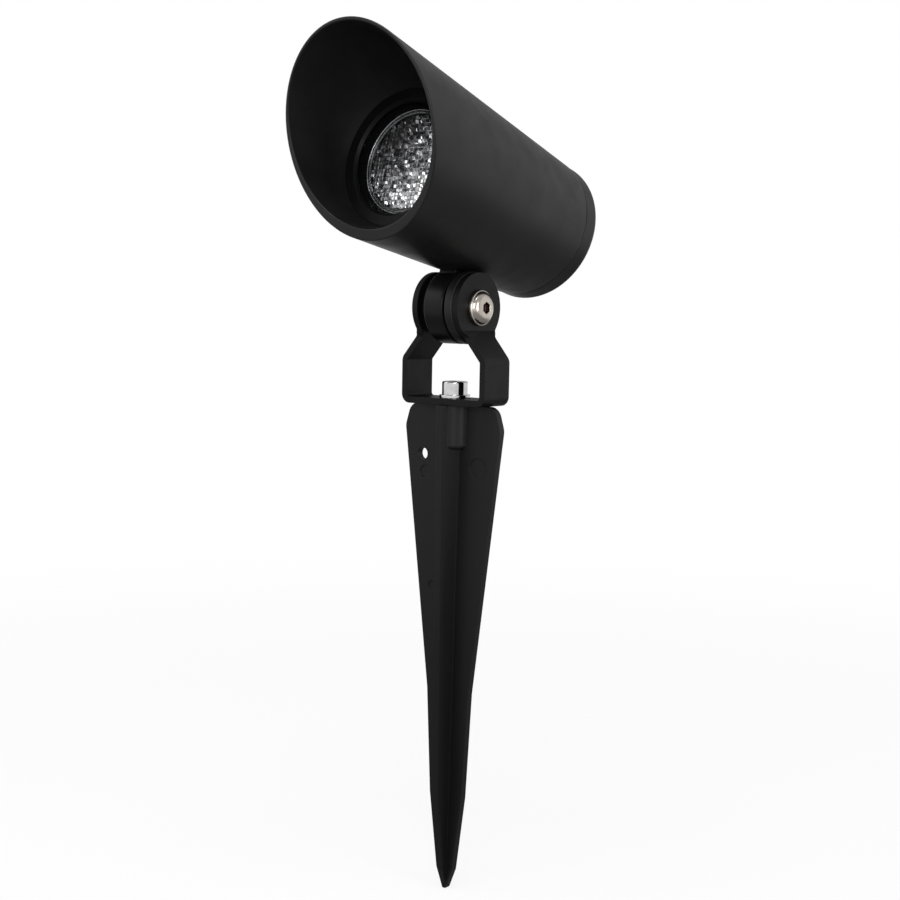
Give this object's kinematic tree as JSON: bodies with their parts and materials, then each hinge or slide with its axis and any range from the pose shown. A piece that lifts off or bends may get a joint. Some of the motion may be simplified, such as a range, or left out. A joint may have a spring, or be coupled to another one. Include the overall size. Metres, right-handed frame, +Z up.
{
  "type": "garden spike spotlight",
  "caption": "Black spotlight with a tapered tube and slant-cut hood, tilting on a round knuckle in a folded bracket that turns on a moulded ground spike.",
  "frame": {"origin": "centre of the spike's top face, on the axis the bracket turns about", "axes": "+Z up along the spike's axis, +X along the tilt axis towards the pivot bolt's head, the lamp faces -Y and 15 degrees up"},
  "size_m": [0.0702, 0.1261, 0.3307],
  "materials": {
    "black_coating": "satin powder coat",
    "black_ring": "semi-gloss",
    "prism_glass": "moulded with small square facets",
    "clear_glass": "clear toughened",
    "stainless": "turned, bright",
    "spike_plastic": "moulded, low sheen",
    "rubber": "matte",
    "reflector": "bright inside",
    "nickel_pin": "bright",
    "ceramic": "glazed ceramic",
    "zinc_sheet": "zinc plated",
    "zinc_screw": "zinc plated",
    "terminal_plastic": "moulded",
    "lead_sleeve": "silicone sleeve",
    "washer_plastic": "matte",
    "brass": "turned"
  },
  "bodies": {
    "spike": {"spike": "spike_plastic", "spike_insert": "brass", "base_screw": "stainless", "base_washer": "stainless"},
    "bracket": {"bracket": "black_coating", "pivot_bolt": "stainless", "pivot_nut": "stainless", "friction_washer": "washer_plastic"},
    "head": {"housing": "black_coating", "rear_cover": "black_coating", "rear_seal": "rubber", "cable_grommet": "rubber", "bezel": "black_ring", "front_glass": "clear_glass", "glass_gasket": "rubber", "lamp_body": "reflector", "lamp_lens": "prism_glass", "lamp_pins": "nickel_pin", "lamp_holder": "ceramic", "holder_bridge": "zinc_sheet", "holder_screws": "zinc_screw", "bridge_screws": "zinc_screw", "terminal_block": "terminal_plastic", "holder_leads": "lead_sleeve", "knuckle": "black_coating", "knuckle_disc": "black_coating", "knuckle_screws": "stainless"}
  },
  "joints": [
    {"name": "bracket_swivel", "type": "hinge", "parent": "spike", "child": "bracket", "pos_m": [0, 0, 0], "axis": [0, 0, 1], "range_deg": [-180, 180]},
    {"name": "head_tilt", "type": "hinge", "parent": "bracket", "child": "head", "pos_m": [0, 0, 0.0375], "axis": [1, 0, 0], "range_deg": [-75, 90]}
  ]
}
